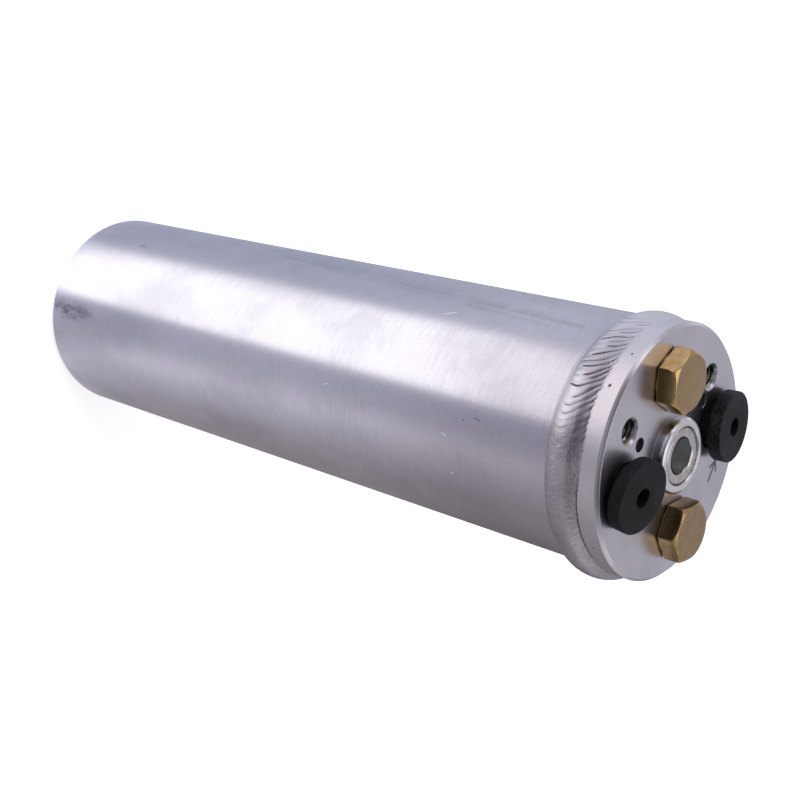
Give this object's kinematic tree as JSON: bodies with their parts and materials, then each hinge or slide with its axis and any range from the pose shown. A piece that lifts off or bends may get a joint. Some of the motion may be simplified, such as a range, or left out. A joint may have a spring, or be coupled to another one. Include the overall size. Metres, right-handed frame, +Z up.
{
  "type": "receiver drier",
  "caption": "Upright welded aluminium refrigerant canister with a ported, sight-glassed head, plugged ports and a drying bed inside; stores, filters and dries liquid.",
  "frame": {"origin": "centre of the canister's flat bottom", "axes": "+Z up the canister's axis to the head; +X towards the inlet port, -X towards the outlet port; +Y towards the upper switch port, on the side of the tapped holes"},
  "size_m": [0.0811, 0.0812, 0.2682],
  "materials": {
    "drawn_aluminium": "satin drawn surface with fine lines round it",
    "machined_aluminium": "fine turned face, semi gloss",
    "weld_metal": "rippled weld, dull in the valleys",
    "plated_ring": "matt warm grey",
    "sight_glass": "clear, looks dark green over the chamber",
    "seal_rubber": "matt black",
    "plug_rubber": "matt black, slightly dusty",
    "plug_brass": "worn, patchy golden brown",
    "tube_aluminium": "plain drawn tube",
    "strainer_steel": "pressed and slotted",
    "plate_steel": "pressed and perforated",
    "filter_felt": "compressed white felt",
    "drying_beads": "packed pale tan beads",
    "spring_steel": "bright drawn wire"
  },
  "bodies": {
    "root": {"canister": "drawn_aluminium", "head": "machined_aluminium", "weld_bead": "weld_metal", "sight_glass_gasket": "seal_rubber", "sight_glass_ring": "plated_ring", "sight_glass_lens": "sight_glass", "switch_port_plug_upper": "plug_brass", "switch_port_plug_lower": "plug_brass", "switch_port_oring_upper": "seal_rubber", "switch_port_oring_lower": "seal_rubber", "inlet_port_plug": "plug_rubber", "outlet_port_plug": "plug_rubber", "pickup_tube": "tube_aluminium", "pickup_tube_oring": "seal_rubber", "pickup_strainer": "strainer_steel", "support_cup": "plate_steel", "lower_filter_pad": "filter_felt", "desiccant_bed": "drying_beads", "upper_filter_pad": "filter_felt", "upper_perforated_plate": "plate_steel", "hold_down_spring": "spring_steel"}
  },
  "joints": []
}
